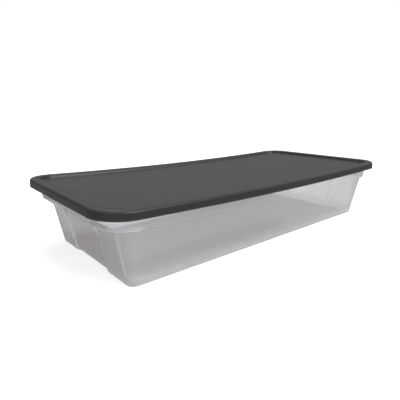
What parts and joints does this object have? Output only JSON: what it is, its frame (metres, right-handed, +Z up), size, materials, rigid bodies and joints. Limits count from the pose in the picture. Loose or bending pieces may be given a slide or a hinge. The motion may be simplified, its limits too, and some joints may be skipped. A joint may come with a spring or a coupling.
{
  "type": "under bed storage box",
  "caption": "Long, shallow storage box with a clear drafted tub, a stepped rim and a grey lid that presses over the rim and lifts off.",
  "frame": {"origin": "middle of the box's underside, on the surface it stands on", "axes": "+X along the length, +Y across the width, +Z up, the way the lid lifts off"},
  "size_m": [0.8732, 0.3938, 0.1524],
  "materials": {
    "clear_plastic": "clear, slightly hazy moulded polypropylene",
    "grey_plastic": "dark grey moulded polypropylene, satin with a fine grain"
  },
  "bodies": {
    "tub": {"tub": "clear_plastic"},
    "lid": {"lid": "grey_plastic"}
  },
  "joints": [
    {"name": "lid_lift", "type": "slide", "parent": "tub", "child": "lid", "axis": [0, 0, 1], "range_m": [0, 0.12]}
  ]
}
